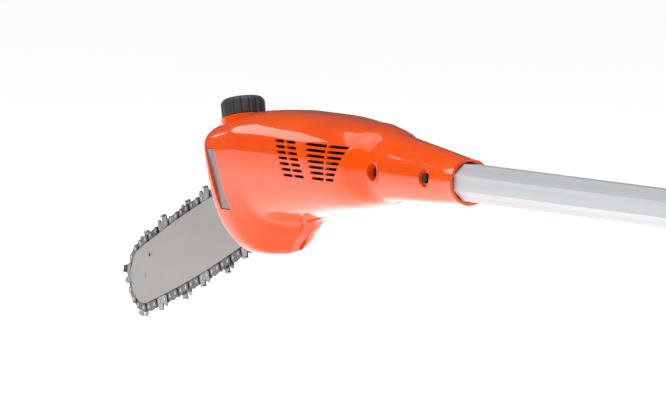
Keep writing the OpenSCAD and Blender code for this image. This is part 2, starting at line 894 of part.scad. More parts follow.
module clamp_body() {
    color(black)
    difference() {
        union() {
            rod_x(clamp_x, clamp_x + clamp_len, 0, 0, clamp_r);
            rod_x(clamp_x - 4, clamp_x, 0, 0, clamp_r - 4);
            block(ear_x[0], ear_x[1], -12, 12, 18, 38);
        }
        octagon_bar(outer_x[0], clamp_x + clamp_len + 1, outer_af);
        octagon_bar(clamp_x - 10, outer_x[0] + 1, tube_af + 0.16);
        block(outer_x[0] + 1, clamp_x + clamp_len + 1, -1.5, 1.5, 15, 45);
        rod_y(bolt_x, bolt_z, 3.1, -20, 20);
    }
}

module clamp_hardware() {
    color(steel) {
        difference() {
            union() {
                rod_y(bolt_x, bolt_z, 3, pivot_y + 3, 17);
                block(bolt_x - 3, bolt_x + 3, pivot_y - 5, pivot_y + 5, bolt_z - 4.5, bolt_z + 4.5);
                rod_y(bolt_x, bolt_z, 6.5, 12.05, 17);
            }
            rod_x(bolt_x - 20, bolt_x + 20, pivot_y, bolt_z, 2.5 + run_gap);
        }
        rod_x(bolt_x - 12, bolt_x + 12, pivot_y, bolt_z, 2.5);
    }
}

module clamp_lever() {
    color(orange)
    difference() {
        union() {
            rod_x(bolt_x - 11, bolt_x + 11, pivot_y, bolt_z, 6.4);
            translate([bolt_x - 11, 0, 0])
                rotate([90, 0, 90])
                    linear_extrude(22)
                        polygon([[-25.2, 33], [-21, 25.2], [-28.5, 9], [-28.5, -18], [-31.5, -26], [-35.5, -26],
                            [-33.5, -12], [-33.5, 9]]);
        }
        rod_x(bolt_x - 12, bolt_x + 12, pivot_y, bolt_z, 2.55);
        block(bolt_x - 3.4, bolt_x + 3.4, pivot_y - 7, 0, bolt_z - 7, bolt_z + 8);
    }
}

module coiled_lead() {
    color(black)
    rod_x(tube_head_x + 20, rear_x + 55, 0, 0, 9);
}

bracket_x = 1290;
eye_z = -34;             // the ring turns about the middle of its eye
wire_r = 2.5;
ring_r = 15;

module harness_bracket() {
    color(black)
    difference() {
        union() {
            rod_x(bracket_x - 16, bracket_x + 16, 0, 0, 25);
            block(bracket_x - 3, bracket_x + 3, -8, 8, eye_z, -20);
            rod_x(bracket_x - 3, bracket_x + 3, 0, eye_z, 8);
            block(bracket_x - 9, bracket_x + 9, -7, 7, 20, 33);
        }
        octagon_bar(bracket_x - 20, bracket_x + 20, outer_af);
        rod_x(bracket_x - 10, bracket_x + 10, 0, eye_z, 4);
        block(bracket_x - 20, bracket_x + 20, -1, 1, 15, 40);
    }
}

module harness_ring() {
    color(steel)
    translate([bracket_x, 0, eye_z - ring_r])
        rotate([90, 0, 0])
            rotate_extrude()
                translate([ring_r, 0])
                    circle(r = wire_r, $fn = 24);
}

grip_x = [930, 1190];
grip_r = 23.5;

module front_grip() {
    color(black)
    difference() {
        union() {
            rod_x(grip_x[0], grip_x[1], 0, 0, grip_r);
            for (x = [grip_x[0], grip_x[1] - 8]) rod_x(x, x + 8, 0, 0, grip_r + 2);
        }
        octagon_bar(grip_x[0] - 1, grip_x[1] + 1, outer_af);
    }
}

// ---- Rear housing ----

bay_x = rear_x + 225;
bay_z = [-136, -48];
bay_half = battery_w / 2 + 1;
foot_x = [rear_x + 218, rear_x + 314];
foot_y = 27;
trigger_x = rear_x + 66;
trigger_z = -12;
lock_x = rear_x + 96;
lock_z = 14;
panel_x = [rear_x + 224, rear_x + 292];
button_x = [rear_x + 242, rear_x + 272];

rear_count = len(rear_stations);
tube_sleeve_r = outer_af / 2 / cos(22.5) + 0.1;

// Rear sections run from the closed back end to the sleeve round the tube.
function rear_station(i) = rear_stations[rear_count - 1 - i];
function rear_hollow_station(i) = let(st = rear_station(i))
    [st[0] - (i == 0 ? shell_wall : 0), st[1], st[2], st[3], st[4], st[5], st[6]];
function rear_inset(i) = i == rear_count - 1 ? rear_station(i)[4] - tube_sleeve_r : shell_wall;

module bay_bulkhead(side) {
    st = rear_stations[rear_count - 3];
    outline = [for (p = side < 0 ? near_arc(st, 1.2, 0) : far_arc(st, 1.2, 0.001)) [p[1], p[2]]];
    translate([bay_x - 16, 0, 0])
        rotate([90, 0, 90])
            linear_extrude(12)
                polygon(outline);
}

module rear_half(side) {
    inner_y = side < 0 ? -0.05 : 0.05;
    half = rear_half_w - 1.5;
    difference() {
        union() {
            if (side < 0)
                half_shell([for (i = [0 : rear_count - 1]) near_arc(rear_station(i), 0, 0)],
                    [for (i = [0 : rear_count - 1]) near_arc(rear_hollow_station(i), rear_inset(i), 0)], true);
            else
                half_shell([for (i = [0 : rear_count - 1]) far_arc(rear_station(i), 0, 0.001)],
                    [for (i = [0 : rear_count - 1]) far_arc(rear_hollow_station(i), rear_inset(i), 0.001)],
                    false);
            bay_bulkhead(side);
            block(bay_x - 10, rear_x + 328, side < 0 ? -half : 0, side < 0 ? 0 : half, bay_z[1], bay_z[1] + 2.5);
        }
        block(rear_x - 20, rear_x + 400, min(inner_y, 0) , max(inner_y, 0), -160, 60);
        block(bay_x - 25, bay_x, -24, 24, -112, -64);
        block(bay_x, rear_x + 400, -bay_half, bay_half, bay_z[0], bay_z[1]);
        block(trigger_x - 8, trigger_x + 76, -6.6, 6.6, -60, -10);
        block(lock_x - 7, lock_x + 52, -5.6, 5.6, 12, 60);
        block(panel_x[0] - 0.2, panel_x[1] + 0.2, -16.2, 16.2, 30, 60);
        for (x = foot_x, y = [-foot_y, foot_y])
            translate([x, y, -pole_height]) cylinder(r = 7 + run_gap, h = foot_h);
    }
}

module rear_shell_left() {
    color(black) rear_half(-1);
}

module rear_shell_right() {
    color(black) rear_half(1);
}

module power_trigger() {
    color(orange)
    difference() {
        union() {
            rod_y(trigger_x, trigger_z, 5.5, -6, 6);
            side_sheet(-6, 6)
                polygon([[trigger_x + 2, -8], [trigger_x + 66, -15], [trigger_x + 67, -22],
                    [trigger_x + 52, -34], [trigger_x + 34, -38], [trigger_x + 16, -35], [trigger_x + 5, -27],
                    [trigger_x - 3, -15]]);
        }
        rod_y(trigger_x, trigger_z, 2.05, -10, 10);
    }
}

module trigger_lock() {
    color(orange)
    difference() {
        side_sheet(-5, 5)
            union() {
                translate([lock_x, lock_z - 1]) circle(r = 4);
                polygon([[lock_x - 1, lock_z - 4.8], [lock_x + 40, 19], [lock_x + 43, 24],
                    [lock_x + 36, 28.5], [lock_x + 12, 28], [lock_x - 3.6, lock_z]]);
            }
        rod_y(lock_x, lock_z - 1, 1.55, -10, 10);
    }
}

module trigger_pins() {
    color(steel) {
        rod_y(trigger_x, trigger_z, 2, -16, 16);
        rod_y(lock_x, lock_z - 1, 1.5, -13, 13);
    }
}

module coil(x, z, r, y0, turns, wire) {
    for (t = [0 : turns - 1])
        translate([x, y0 + (t + 0.5) * 2.2 * wire, z])
            rotate([90, 0, 0])
                rotate_extrude()
                    translate([r, 0])
                        circle(r = wire, $fn = 16);
}

module trigger_springs() {
    color(steel) {
        coil(trigger_x, trigger_z, 3.4, 7, 4, 0.6);
        coil(lock_x, lock_z - 1, 2.8, 6, 4, 0.5);
    }
}

module trigger_switch() {
    color("#2b2b30") {
        block(trigger_x + 26, trigger_x + 50, -6, 6, 0, 7.5);
        block(trigger_x + 34, trigger_x + 39, -2.5, 2.5, -3.3, 0);
    }
}

module key_panel() {
    color("#2b2b30")
    difference() {
        block(panel_x[0], panel_x[1], -16, 16, 34, 37.2);
        for (x = button_x) translate([x, 0, 30]) cylinder(r = 7.3, h = 10);
    }
}

module button(x) {
    translate([x, 0, 33]) cylinder(r = 7, h = 6);
}

module power_button() {
    color("#39a845") button(button_x[0]);
}

module speed_button() {
    color("#d9dadc") button(button_x[1]);
}

module control_board() {
    color("#1e6b3a") {
        block(panel_x[0] - 2, panel_x[1] + 10, -28, 28, 22, 24);
        block(panel_x[0] + 30, panel_x[0] + 60, -20, -4, 10, 22);
        block(panel_x[0] + 4, panel_x[0] + 22, 6, 22, 14, 22);
    }
}

blade_z = [-104, -92, -84, -72];

module battery_contacts() {
    color("#c98f3a") {
        block(bay_x - 22, bay_x - 1, -20, 20, -110, -66);
        for (z = blade_z) block(bay_x - 1, bay_x + 13, -7, 7, z - 0.5, z + 0.5);
    }
}

batt_x = [bay_x + 1, bay_x + 1 + battery_len];
batt_z = [-134, -134 + battery_h];
batt_wall = 2.5;

module battery_case() {
    half = battery_w / 2;
    color("#2f3135")
    difference() {
        union() {
            block(batt_x[0], batt_x[1], -half, half, batt_z[0], batt_z[1]);
            block(batt_x[1] - 16, batt_x[1], -half, half, batt_z[0] - 0.5, batt_z[1] + 0.5);
        }
        block(batt_x[0] + batt_wall, batt_x[1] - 18, -half + batt_wall, half - batt_wall,
            batt_z[0] + batt_wall, batt_z[1] - batt_wall);
        for (z = blade_z) block(batt_x[0] - 1, batt_x[0] + 5, -8, 8, z - 1.5, z + 1.5);
        block(batt_x[1] - 13, batt_x[1] - 3, -13, 13, batt_z[1] - 8, batt_z[1] + 5);
        for (y = [-half - 1, half - 7])
            block(batt_x[1] - 11, batt_x[1] - 4, y, y + 8, batt_z[0] + 15, batt_z[1] - 15);
    }
}

cell_r = 9;

module battery_cells() {
    color("#3f6fb0")
    for (i = [0 : 4], k = [0 : 3])
        rod_y(batt_x[0] + 25 + i * 19.2, batt_z[0] + battery_h / 2 + (k - 1.5) * 19.2, cell_r, -32.5, 32.5);
}

module battery_latch() {
    color(orange)
    block(batt_x[1] - 12.6, batt_x[1] - 3.4, -12.6, 12.6, batt_z[1] - 4, batt_z[1] + 0.4);
}

module rear_screws() {
    color("#3a3c3f")
    for (x = [rear_x + 20, rear_x + 212]) {
        z = x > rear_x + 100 ? -22 : 0;
        y = x > rear_x + 100 ? -44 : -23.5;
        rod_y(x, z, 3.6, y - 2, y + 1);
    }
}

module rubber_feet() {
    color("#222222")
    for (x = foot_x, y = [-foot_y, foot_y])
        translate([x, y, -pole_height]) cylinder(r = 7, h = foot_h);
}

place() head_shell_near();
place() head_shell_far();
place() sprocket_cover();
place() cover_knob();
place() oil_cap();
place() oil_cap_seal();
place() oil_tank();
place() oil_window();
place() oil_pump();
place() motor_can();
place() motor_stator();
place() motor_rotor();
place() cooling_fan();
place() pinion();
place() head_bearings();
place() gear_case();
place() face_gear();
place() spindle();
place() drive_sprocket();
place() bar_studs();
place() bar_side_plates();
place() bar_core();
place() nose_bearing();
place() nose_sprocket();
place() tension_block();
place() tension_screw();
place() chain_drive_links();
place() chain_tie_straps();
place() chain_cutters_left();
place() chain_cutters_right();
place() chain_rivets();
place() head_screws();
place() tube_socket();
place() inner_tube();
place() slide_bush();
place() outer_tube();
place() clamp_body();
place() clamp_hardware();
place() clamp_lever();
place() coiled_lead();
place() harness_bracket();
place() harness_ring();
place() front_grip();
place() rear_shell_left();
place() rear_shell_right();
place() power_trigger();
place() trigger_lock();
place() trigger_pins();
place() trigger_springs();
place() trigger_switch();
place() key_panel();
place() power_button();
place() speed_button();
place() control_board();
place() battery_contacts();
place() battery_case();
place() battery_cells();
place() battery_latch();
place() rear_screws();
place() rubber_feet();
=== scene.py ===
import math

import bmesh
import bpy
from mathutils import Matrix, Vector


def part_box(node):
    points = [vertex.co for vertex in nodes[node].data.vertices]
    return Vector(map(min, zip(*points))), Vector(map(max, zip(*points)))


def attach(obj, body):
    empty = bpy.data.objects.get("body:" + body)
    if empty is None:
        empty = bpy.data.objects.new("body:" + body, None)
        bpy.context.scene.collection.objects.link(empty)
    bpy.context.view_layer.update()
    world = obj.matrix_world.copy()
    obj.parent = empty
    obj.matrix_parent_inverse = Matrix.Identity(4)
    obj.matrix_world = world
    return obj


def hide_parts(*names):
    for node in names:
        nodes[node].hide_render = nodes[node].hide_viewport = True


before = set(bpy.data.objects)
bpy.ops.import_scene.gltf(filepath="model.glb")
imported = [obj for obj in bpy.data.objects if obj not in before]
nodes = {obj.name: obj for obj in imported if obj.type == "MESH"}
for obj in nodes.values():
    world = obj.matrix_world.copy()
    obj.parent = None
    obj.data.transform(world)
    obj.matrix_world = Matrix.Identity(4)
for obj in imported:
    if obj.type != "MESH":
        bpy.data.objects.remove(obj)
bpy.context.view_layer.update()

MM = 0.001

# The pole's axis, and the rear end of the head's collar, are the reference for every piece below.
tube_low, tube_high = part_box("inner_tube")
shell_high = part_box("head_shell_near")[1]
AXIS_Y = (tube_low.y + tube_high.y) / 2
AXIS_Z = (tube_low.z + tube_high.z) / 2
COLLAR_X = shell_high.x


def at(x, y, z):
    """A point given in millimetres back from the collar, across from the pole's axis, and above it."""
    return Vector((COLLAR_X + x * MM, AXIS_Y + y * MM, AXIS_Z + z * MM))


# ---------------------------------------------------------------- materials


def linear(hex_colour):
    """A linear RGBA colour from a web colour."""
    parts = [int(hex_colour[i:i + 2], 16) / 255 for i in (1, 3, 5)]
    return [c / 12.92 if c <= 0.04045 else ((c + 0.055) / 1.055) ** 2.4 for c in parts] + [1]


class Finish:
    """A procedural material: noise in the object's own space drives its colour, roughness and bump."""

    def __init__(self, name, roughness, metallic=0.0, coat=0.0, specular=0.5):
        self.material = bpy.data.materials.new(name)
        self.material.use_nodes = True
        self.nodes = self.material.node_tree.nodes
        self.links = self.material.node_tree.links
        self.shader = self.nodes["Principled BSDF"]
        self.place = self.nodes.new("ShaderNodeTexCoord").outputs["Object"]
        self.set("Roughness", roughness)
        self.set("Metallic", metallic)
        self.set("Coat Weight", coat)
        self.set("Coat Roughness", 0.03)
        self.set("IOR", 1.5)
        self.set("Specular IOR Level", specular)
        self.last_bump = None

    def set(self, socket, value):
        self.shader.inputs[socket].default_value = value

    def stretched(self, scale):
        mapping = self.nodes.new("ShaderNodeMapping")
        mapping.inputs["Scale"].default_value = scale
        self.links.new(self.place, mapping.inputs["Vector"])
        return mapping.outputs["Vector"]

    def noise(self, scale, detail=4.0, stretch=(1, 1, 1)):
        texture = self.nodes.new("ShaderNodeTexNoise")
        texture.inputs["Scale"].default_value = scale
        texture.inputs["Detail"].default_value = detail
        self.links.new(self.stretched(stretch), texture.inputs["Vector"])
        return texture.outputs["Fac"]

    def cells(self, scale):
        texture = self.nodes.new("ShaderNodeTexVoronoi")
        texture.inputs["Scale"].default_value = scale
        self.links.new(self.place, texture.inputs["Vector"])
        return texture.outputs["Distance"]

    def ramp(self, factor, low, high, start=0.3, end=0.7):
        ramp = self.nodes.new("ShaderNodeValToRGB")
        ramp.color_ramp.elements[0].color = low
        ramp.color_ramp.elements[1].color = high
        ramp.color_ramp.elements[0].position = start
        ramp.color_ramp.elements[1].position = end
        self.links.new(factor, ramp.inputs["Fac"])
        return ramp.outputs["Color"]

    def colour(self, factor, low, high, start=0.3, end=0.7):
        self.links.new(self.ramp(factor, low, high, start, end), self.shader.inputs["Base Color"])
        return self

    def polish(self, factor, low, high):
        spread = self.nodes.new("ShaderNodeMapRange")
        spread.inputs["To Min"].default_value = low
        spread.inputs["To Max"].default_value = high
        self.links.new(factor, spread.inputs["Value"])
        self.links.new(spread.outputs["Result"], self.shader.inputs["Roughness"])
        return self

    def bump(self, factor, strength, distance):
        bump = self.nodes.new("ShaderNodeBump")
        bump.inputs["Strength"].default_value = strength
        bump.inputs["Distance"].default_value = distance
        self.links.new(factor, bump.inputs["Height"])
        if self.last_bump:
            self.links.new(self.last_bump, bump.inputs["Normal"])
        self.last_bump = bump.outputs["Normal"]
        self.links.new(self.last_bump, self.shader.inputs["Normal"])
        return self


def gloss_plastic(name, low, high, coat=1.0):
    """Polished moulding: a hard clear skin over slightly uneven colour."""
    made = Finish(name, 0.32, coat=coat, specular=0.05)
    made.colour(made.noise(22), linear(low), linear(high))
    made.polish(made.noise(60), 0.26, 0.38)
    made.bump(made.noise(900, 2), 0.03, 0.00006)
    return made.material


def matt_plastic(name, low, high, grain=1800):
    """Spark-eroded mould texture, as on black housings."""
    made = Finish(name, 0.5, specular=0.45)
    made.colour(made.noise(35), linear(low), linear(high))
    made.polish(made.noise(120), 0.42, 0.6)
    made.bump(made.cells(grain), 0.25, 0.00012)
    made.bump(made.noise(260, 5), 0.08, 0.0002)
    return made.material


def soft_rubber(name, low, high):
    made = Finish(name, 0.75, specular=0.3)
    made.set("Sheen Weight", 0.15)
    made.set("Sheen Roughness", 0.5)
    made.colour(made.noise(50), linear(low), linear(high))
    made.polish(made.noise(200), 0.68, 0.86)
    made.bump(made.noise(2200, 3), 0.3, 0.0001)
    return made.material


def metal(name, low, high, rough_low, rough_high, stretch=(1, 1, 1), grain=600, strength=0.12):
    """Drawn, ground or cast metal: stretch draws the grain out along one direction."""
    made = Finish(name, rough_low, metallic=1.0)
    made.colour(made.noise(30, 5, stretch), linear(low), linear(high))
    made.polish(made.noise(grain, 4, stretch), rough_low, rough_high)
    made.bump(made.noise(grain * 2, 3, stretch), strength, 0.00008)
    return made.material


def anodised(name, low, high):
    """Satin anodised extrusion, with die lines along the pole."""
    made = Finish(name, 0.35, metallic=0.3)
    along = (0.02, 1, 1)
    made.colour(made.noise(120, 4, along), linear(low), linear(high))
    made.polish(made.noise(500, 4, along), 0.3, 0.44)
    made.bump(made.noise(900, 3, along), 0.06, 0.00006)
    return made.material


def smoked_window(name):
    made = Finish(name, 0.25, coat=0.4)
    made.colour(made.noise(90, 3), linear("#5f6466"), linear("#7c8183"))
    made.polish(made.noise(300), 0.18, 0.34)
    made.bump(made.noise(700, 3), 0.08, 0.0001)
    return made.material


def circuit_board(name):
    made = Finish(name, 0.4)
    made.colour(made.cells(240), linear("#0d3f22"), linear("#1f7a43"), 0.1, 0.5)
    made.polish(made.noise(90), 0.3, 0.5)
    made.bump(made.cells(240), 0.2, 0.0001)
    return made.material


ORANGE = gloss_plastic("orange_gloss", "#f04c00", "#fa5600")
BLACK = matt_plastic("black_textured", "#151516", "#242426")
BLACK_CAP = matt_plastic("black_cap", "#303132", "#464849", 2400)
DARK_GREY = matt_plastic("dark_grey_textured", "#242628", "#35383b")
RUBBER = soft_rubber("grip_rubber", "#141415", "#222224")
TUBE = anodised("tube_anodised", "#c2c5c8", "#ced1d4")
BAR = metal("bar_ground_steel", "#a3a09e", "#b6b3b1", 0.34, 0.5, (0.05, 1, 0.2), 420)
CHAIN = metal("chain_oiled_steel", "#4a4a4a", "#8d8c8a", 0.22, 0.48, grain=900, strength=0.3)
CUTTER = metal("cutter_chromed", "#6f6f6e", "#a8a7a5", 0.16, 0.34, grain=900)
STEEL = metal("plain_steel", "#9a9c9f", "#c0c2c4", 0.22, 0.4, grain=700)
DARK_STEEL = metal("blackened_screws", "#1c1c1e", "#39393c", 0.3, 0.5, grain=800)
CAST = metal("cast_alloy", "#777a7d", "#989b9e", 0.42, 0.62, grain=380, strength=0.4)
COPPER = metal("enamelled_wire", "#6e3012", "#a5592b", 0.22, 0.4, (1, 1, 1), 1200, 0.4)
WINDOW = smoked_window("oil_window_smoked")
NATURAL = gloss_plastic("tank_natural", "#cfc8ae", "#e2dcc6", 0.3)
WHITE = gloss_plastic("white_plastic", "#cfd0d2", "#e4e5e6", 0.4)
GREEN = gloss_plastic("green_plastic", "#1f7d2c", "#36a447", 0.5)
WRAP = gloss_plastic("cell_wrap", "#254a86", "#3c69ad", 0.4)
BOARD = circuit_board("board_green")

NODE_MATERIALS = {
    "head_shell_near": ORANGE, "head_shell_far": ORANGE, "sprocket_cover": ORANGE,
    "clamp_lever": ORANGE, "power_trigger": ORANGE, "trigger_lock": ORANGE, "battery_latch": ORANGE,
    "cover_knob": BLACK_CAP, "oil_cap": BLACK_CAP, "cooling_fan": BLACK, "clamp_body": BLACK,
    "harness_bracket": BLACK, "rear_shell_left": BLACK, "rear_shell_right": BLACK,
    "trigger_switch": BLACK, "key_panel": DARK_GREY, "battery_case": DARK_GREY, "tube_socket": BLACK,
    "oil_pump": CAST, "oil_cap_seal": RUBBER, "front_grip": RUBBER, "rubber_feet": RUBBER,
    "coiled_lead": RUBBER, "inner_tube": TUBE, "outer_tube": TUBE, "bar_side_plates": BAR,
    "bar_core": BAR, "motor_can": STEEL, "spindle": STEEL, "nose_sprocket": STEEL,
    "drive_sprocket": STEEL, "bar_studs": STEEL, "head_bearings": STEEL, "harness_ring": STEEL,
    "clamp_hardware": STEEL, "trigger_pins": STEEL, "trigger_springs": STEEL, "motor_rotor": STEEL,
    "pinion": STEEL, "face_gear": STEEL, "tension_block": STEEL, "nose_bearing": STEEL,
    "chain_drive_links": CHAIN, "chain_tie_straps": CHAIN, "chain_cutters_left": CUTTER,
    "chain_cutters_right": CUTTER, "chain_rivets": STEEL, "head_screws": DARK_STEEL,
    "rear_screws": DARK_STEEL, "tension_screw": DARK_STEEL, "gear_case": CAST, "oil_window": WINDOW,
    "oil_tank": NATURAL, "motor_stator": COPPER, "battery_contacts": BLACK, "control_board": BOARD,
    "battery_cells": WRAP, "slide_bush": WHITE, "speed_button": WHITE, "power_button": GREEN,
}

# Edge rounding in millimetres for the CAD nodes that stay in view.
ROUNDED = {
    "inner_tube": 1.4, "outer_tube": 1.6, "clamp_body": 1.2, "clamp_lever": 1.0, "clamp_hardware": 0.4,
    "harness_bracket": 1.0, "cover_knob": 0.8, "bar_side_plates": 0.3, "chain_tie_straps": 0.18,
    "chain_cutters_left": 0.2, "chain_cutters_right": 0.2, "chain_drive_links": 0.15,
    "chain_rivets": 0.25, "power_trigger": 1.6, "trigger_lock": 1.4, "key_panel": 0.7,
    "power_button": 0.6, "speed_button": 0.6, "battery_latch": 0.8, "rubber_feet": 0.6,
    "bar_studs": 0.4, "head_screws": 0.4, "rear_screws": 0.4, "drive_sprocket": 0.3,
}


def smooth_by_angle(mesh, degrees=35):
    """Smooth faces, kept sharp where two faces meet at more than the angle."""
    mesh.polygons.foreach_set("use_smooth", [True] * len(mesh.polygons))
    work = bmesh.new()
    work.from_mesh(mesh)
    limit = math.radians(degrees)
    for edge in work.edges:
        edge.smooth = len(edge.link_faces) == 2 and edge.calc_face_angle(math.pi) < limit
    work.to_mesh(mesh)
    work.free()


def round_edges(piece, width_mm, segments=2, degrees=40):
    bevel = piece.modifiers.new("rounded_edges", "BEVEL")
    bevel.width = width_mm * MM
    bevel.segments = segments
    bevel.limit_method = "ANGLE"
    bevel.angle_limit = math.radians(degrees)
    bevel.use_clamp_overlap = True
    bevel.harden_normals = False


for name, material in NODE_MATERIALS.items():
    node = nodes[name]
    node.data.materials.clear()
    node.data.materials.append(material)
    if name in ROUNDED:
        round_edges(node, ROUNDED[name])


# ---------------------------------------------------------------- mesh helpers


def new_piece(name, mesh, body, material, stands_for=()):
    piece = bpy.data.objects.new(name, mesh)
    bpy.context.scene.collection.objects.link(piece)
    mesh.materials.clear()
    mesh.materials.append(material)
    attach(piece, body)
    if stands_for:
        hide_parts(*stands_for)
    return piece


def mesh_from(name, points, faces):
    mesh = bpy.data.meshes.new(name)
    mesh.from_pydata([tuple(p) for p in points], [], faces)
    work = bmesh.new()
    work.from_mesh(mesh)
    bmesh.ops.remove_doubles(work, verts=work.verts, dist=1e-6)
    bmesh.ops.recalc_face_normals(work, faces=work.faces)
    work.to_mesh(mesh)
    work.free()
    return mesh


def monotone(ts, values, t):
    """A cubic through the values that never overshoots them."""
    count = len(ts)
    slopes = [(values[i + 1] - values[i]) / (ts[i + 1] - ts[i]) for i in range(count - 1)]
    tangents = [slopes[0]]
    for left, right in zip(slopes, slopes[1:]):
        tangents.append(0.0 if left * right <= 0 else 2 * left * right / (left + right))
    tangents.append(slopes[-1])
    i = max(k for k in range(count - 1) if ts[k] <= t or k == 0)
    h = ts[i + 1] - ts[i]
    s = (t - ts[i]) / h
    return ((2 * s ** 3 - 3 * s ** 2 + 1) * values[i] + (s ** 3 - 2 * s ** 2 + s) * h * tangents[i]
            + (-2 * s ** 3 + 3 * s ** 2) * values[i + 1] + (s ** 3 - s ** 2) * h * tangents[i + 1])


class Skin:
    """A moulding's outline at any place along the pole. A row holds: place, lean in degrees, top, bottom,
    half width on the vent side, half width on the bar side, and squareness, in millimetres."""

    def __init__(self, rows):
        self.rows = rows
        self.places = [0.0]
        for a, b in zip(rows, rows[1:]):
            step = math.dist((a[0], *a[2:5]), (b[0], *b[2:5]))
            self.places.append(self.places[-1] + step)

    def row(self, share):
        t = share * self.places[-1]
        return [monotone(self.places, [r[k] for r in self.rows], t) for k in range(7)]

    def rows_between(self, count):
        return [self.row(i / (count - 1)) for i in range(count)]


def on_outline(row, inset, angle, side):
    """The point of a section at an angle from its top, in degrees, on side -1 (vents) or 1 (bar)."""
    x, lean, top, bottom, near, far, square = row
    half = (near if side < 0 else far) - inset
    full = (top if angle <= 90 else -bottom) / math.cos(math.radians(lean)) - inset
    a = math.radians(angle)
    across = half * abs(math.sin(a)) ** (2 / square)
    height = full * abs(math.cos(a)) ** (2 / square) * (1 if angle <= 90 else -1)
    tilt = math.radians(lean)
    return (x - height * math.sin(tilt), side * across, height * math.cos(tilt))


def moulding(name, rows, side, joint_y, wall, around=64, mouth_wall=None):
    """Half of a hollow moulding with a smooth outer and inner skin, from the parting plane at joint_y."""

    def section(row, inset):
        half = (row[4] if side < 0 else row[5]) - inset
        points = []
        crosses = joint_y * side > 0
        start = 0.0
        if crosses:
            share = min(1.0, abs(joint_y) / half) ** (row[6] / 2)
            start = math.degrees(math.asin(share))
        for k in range(around + 1):
            angle = start + (180 - 2 * start) * k / around
            points.append(on_outline(row, inset, angle, side))
        if not crosses and joint_y:
            other = [row[0], row[1], row[2], row[3], row[5], row[4], row[6]]
            share = min(1.0, abs(joint_y) / (other[4] - inset)) ** (row[6] / 2)
            lip = math.degrees(math.asin(share))
            first, final = [on_outline(other, inset, angle, -side) for angle in (lip, 180 - lip)]
            points = [first] + points + [final]
            points[0] = (points[0][0], joint_y, points[0][2])
            points[-1] = (points[-1][0], joint_y, points[-1][2])
        return points

    last = len(rows) - 1
    outer = [section(r, 0) for r in rows]
    inner = []
    for i, r in enumerate(rows):
        inset = wall if mouth_wall is None or i < last * 0.55 else min(wall, mouth_wall(r))
        shifted = [r[0] + (wall if i == 0 and rows[0][0] < rows[-1][0] else 0)] + list(r[1:])
        inner.append(section(shifted, inset))
    n = len(outer[0])
    base = n * len(rows)
    points = [at(*p) for ring in outer + inner for p in ring]
    faces = []
    for i in range(last):
        for k in range(n - 1):
            a, b, c, d = i * n + k, i * n + k + 1, (i + 1) * n + k + 1, (i + 1) * n + k
            faces += [(a, b, c, d), (base + a, base + d, base + c, base + b)]
        for k in (0, n - 1):
            a, d = i * n + k, (i + 1) * n + k
            faces.append((a, d, base + d, base + a))
    for k in range(n - 1):
        a = last * n + k
        faces.append((a, a + 1, base + a + 1, base + a))
    faces += [tuple(range(n)), tuple(range(base + n - 1, base - 1, -1)), (0, n - 1, base + n - 1, base)]
    return mesh_from(name, points, faces)


def prism(outline, y0, y1):
    """Points and faces of a flat outline in x and z, given its thickness across the pole."""
    n = len(outline)
    points = [at(x, y0, z) for x, z in outline] + [at(x, y1, z) for x, z in outline]
    faces = [tuple(range(n)), tuple(range(2 * n - 1, n - 1, -1))]
    faces += [(k, (k + 1) % n, n + (k + 1) % n, n + k) for k in range(n)]
    return points, faces


def lathe(profile, place, around=64, ripple=None):
    """A turned shape: profile holds (radius, height) pairs, and place carries its axis into position."""
    points, faces = [], []
    n = len(profile)
    for k in range(around):
        a = 2 * math.pi * k / around
        for radius, height in profile:
            r = radius + (ripple(a, radius, height) if ripple else 0)
            points.append(place @ Vector((r * math.cos(a) * MM, r * math.sin(a) * MM, height * MM)))
    for k in range(around):
        m = (k + 1) % around
        faces += [(k * n + i, k * n + i + 1, m * n + i + 1, m * n + i) for i in range(n - 1)]
    faces.append(tuple(k * n for k in range(around - 1, -1, -1)))
    faces.append(tuple(k * n + n - 1 for k in range(around)))
    return points, faces


def joined(parts):
    points, faces = [], []
    for some_points, some_faces in parts:
        base = len(points)
        points += some_points
        faces += [tuple(base + k for k in f) for f in some_faces]
    return points, faces


def cut(piece, parts, operation="DIFFERENCE"):
    """Cuts or joins closed shapes, given as (points, faces), into a piece."""
    tool = bpy.data.objects.new("cutter", mesh_from("cutter", *joined(parts)))
    bpy.context.scene.collection.objects.link(tool)
    change = piece.modifiers.new("cut", "BOOLEAN")
    change.operation = operation
    change.solver = "EXACT"
    change.object = tool
    depsgraph = bpy.context.evaluated_depsgraph_get()
    made = bpy.data.meshes.new_from_object(piece.evaluated_get(depsgraph))
    piece.modifiers.remove(change)
    old = piece.data
    piece.data = made
    bpy.data.meshes.remove(old)
    bpy.data.objects.remove(tool)


# ---------------------------------------------------------------- head

# The guide bar slopes down by this many degrees, and the drive sprocket's axis is here.
SLOPE = 20.8
SPROCKET_X = -305
SPROCKET_Z = -5
HEAD = Skin([
    (-365, SLOPE, 21.5, -77, 46, 42, 2.7),
    (-361, SLOPE, 26, -80, 48.5, 45, 2.7),
    (-346, SLOPE, 30.5, -79, 49.5, 46, 2.7),
    (-325, SLOPE, 35, -64, 49.5, 46, 2.8),
    (-308, SLOPE * 0.9, 39, -52, 49.5, 46, 2.9),
    (-262, SLOPE * 0.6, 42, -44, 48.5, 45, 2.9),
    (-215, SLOPE * 0.3, 42, -38, 47, 43, 2.8),
    (-165, 0, 39, -32, 44, 40, 2.7),
    (-140, 0, 36, -27, 40, 37, 2.4),
    (-122, 0, 32.5, -23, 28, 28, 2.2),
    (-75, 0, 27.5, -21, 24, 24, 2),
    (-30, 0, 22.5, -19.3, 20.3, 20.3, 2),
    (-6, 0, 19.6, -18.6, 18.8, 18.8, 2),
    (0, 0, 19.4, -18.9, 19, 19, 2)])
PART_Y = 8
SEAM = 0.3
WALL = 2.5
NECK_BORE = 16.54
HEAD_ROWS = HEAD.rows_between(110)

